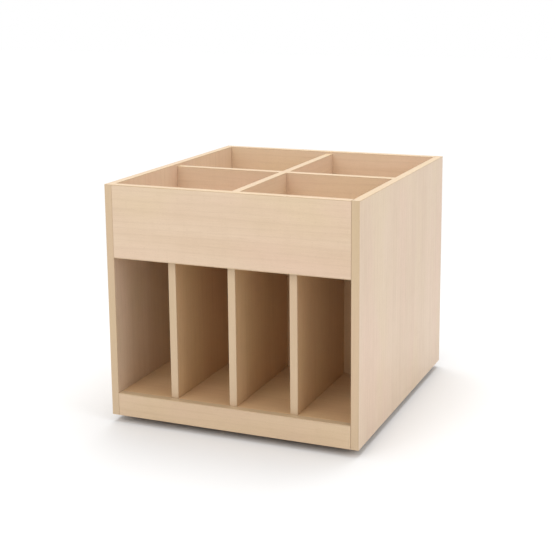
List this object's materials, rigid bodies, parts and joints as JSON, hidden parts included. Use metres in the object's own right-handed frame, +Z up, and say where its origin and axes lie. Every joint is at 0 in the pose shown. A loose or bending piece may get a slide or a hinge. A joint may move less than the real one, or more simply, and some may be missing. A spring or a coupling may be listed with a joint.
{
  "type": "mobile book display stand",
  "caption": "Mobile book display stand: open-top picture book bins over upright slots on both sides, in pale laminate boards on concealed twin-wheel castors.",
  "frame": {"origin": "on the floor, under the middle of the unit's footprint", "axes": "+Z up, -Y out of the front, +X to the right as seen from the front"},
  "size_m": [0.6, 0.655, 0.558],
  "materials": {
    "laminate": "pale maple laminate, satin, with matching edge bands",
    "dowel": "beech dowel, fluted, raw",
    "steel": "bright zinc plate",
    "nylon": "black moulded nylon",
    "wheel": "dark grey moulded wheel with a soft tread"
  },
  "bodies": {
    "case": {"left_side_panel": "laminate", "right_side_panel": "laminate", "front_apron": "laminate", "rear_apron": "laminate", "front_plinth": "laminate", "rear_plinth": "laminate", "deck": "laminate", "bin_floor": "laminate", "spine": "laminate", "front_slot_divider_1": "laminate", "front_slot_divider_2": "laminate", "front_slot_divider_3": "laminate", "rear_slot_divider_1": "laminate", "rear_slot_divider_2": "laminate", "rear_slot_divider_3": "laminate", "bin_divider_long": "laminate", "bin_divider_cross": "laminate", "dowel_front_apron_left_1": "dowel", "dowel_front_apron_left_2": "dowel", "dowel_front_apron_right_1": "dowel", "dowel_front_apron_right_2": "dowel", "dowel_rear_apron_left_1": "dowel", "dowel_rear_apron_left_2": "dowel", "dowel_rear_apron_right_1": "dowel", "dowel_rear_apron_right_2": "dowel", "dowel_front_plinth_left_1": "dowel", "dowel_front_plinth_right_1": "dowel", "dowel_rear_plinth_left_1": "dowel", "dowel_rear_plinth_right_1": "dowel", "dowel_deck_left_1": "dowel", "dowel_deck_left_2": "dowel", "dowel_deck_right_1": "dowel", "dowel_deck_right_2": "dowel", "dowel_bin_floor_left_1": "dowel", "dowel_bin_floor_left_2": "dowel", "dowel_bin_floor_right_1": "dowel", "dowel_bin_floor_right_2": "dowel", "castor_front_left_plate": "steel", "castor_front_right_plate": "steel", "castor_rear_left_plate": "steel", "castor_rear_right_plate": "steel"},
    "castor_front_left_swivel_part": {"castor_front_left_housing": "nylon"},
    "castor_front_left_wheels": {"castor_front_left_axle": "steel", "castor_front_left_wheel_left": "wheel", "castor_front_left_wheel_right": "wheel"},
    "castor_front_right_swivel_part": {"castor_front_right_housing": "nylon"},
    "castor_front_right_wheels": {"castor_front_right_axle": "steel", "castor_front_right_wheel_left": "wheel", "castor_front_right_wheel_right": "wheel"},
    "castor_rear_left_swivel_part": {"castor_rear_left_housing": "nylon"},
    "castor_rear_left_wheels": {"castor_rear_left_axle": "steel", "castor_rear_left_wheel_left": "wheel", "castor_rear_left_wheel_right": "wheel"},
    "castor_rear_right_swivel_part": {"castor_rear_right_housing": "nylon"},
    "castor_rear_right_wheels": {"castor_rear_right_axle": "steel", "castor_rear_right_wheel_left": "wheel", "castor_rear_right_wheel_right": "wheel"}
  },
  "joints": [
    {"name": "front_left_swivel", "type": "hinge", "parent": "case", "child": "castor_front_left_swivel_part", "pos_m": [-0.222, -0.2395, 0.0497], "axis": [0, 0, 1], "continuous": true},
    {"name": "front_left_roll", "type": "hinge", "parent": "castor_front_left_swivel_part", "child": "castor_front_left_wheels", "pos_m": [-0.222, -0.2245, 0.0175], "axis": [1, 0, 0], "continuous": true},
    {"name": "front_right_swivel", "type": "hinge", "parent": "case", "child": "castor_front_right_swivel_part", "pos_m": [0.222, -0.2395, 0.0497], "axis": [0, 0, 1], "continuous": true},
    {"name": "front_right_roll", "type": "hinge", "parent": "castor_front_right_swivel_part", "child": "castor_front_right_wheels", "pos_m": [0.222, -0.2245, 0.0175], "axis": [1, 0, 0], "continuous": true},
    {"name": "rear_left_swivel", "type": "hinge", "parent": "case", "child": "castor_rear_left_swivel_part", "pos_m": [-0.222, 0.2395, 0.0497], "axis": [0, 0, 1], "continuous": true},
    {"name": "rear_left_roll", "type": "hinge", "parent": "castor_rear_left_swivel_part", "child": "castor_rear_left_wheels", "pos_m": [-0.222, 0.2545, 0.0175], "axis": [1, 0, 0], "continuous": true},
    {"name": "rear_right_swivel", "type": "hinge", "parent": "case", "child": "castor_rear_right_swivel_part", "pos_m": [0.222, 0.2395, 0.0497], "axis": [0, 0, 1], "continuous": true},
    {"name": "rear_right_roll", "type": "hinge", "parent": "castor_rear_right_swivel_part", "child": "castor_rear_right_wheels", "pos_m": [0.222, 0.2545, 0.0175], "axis": [1, 0, 0], "continuous": true}
  ]
}
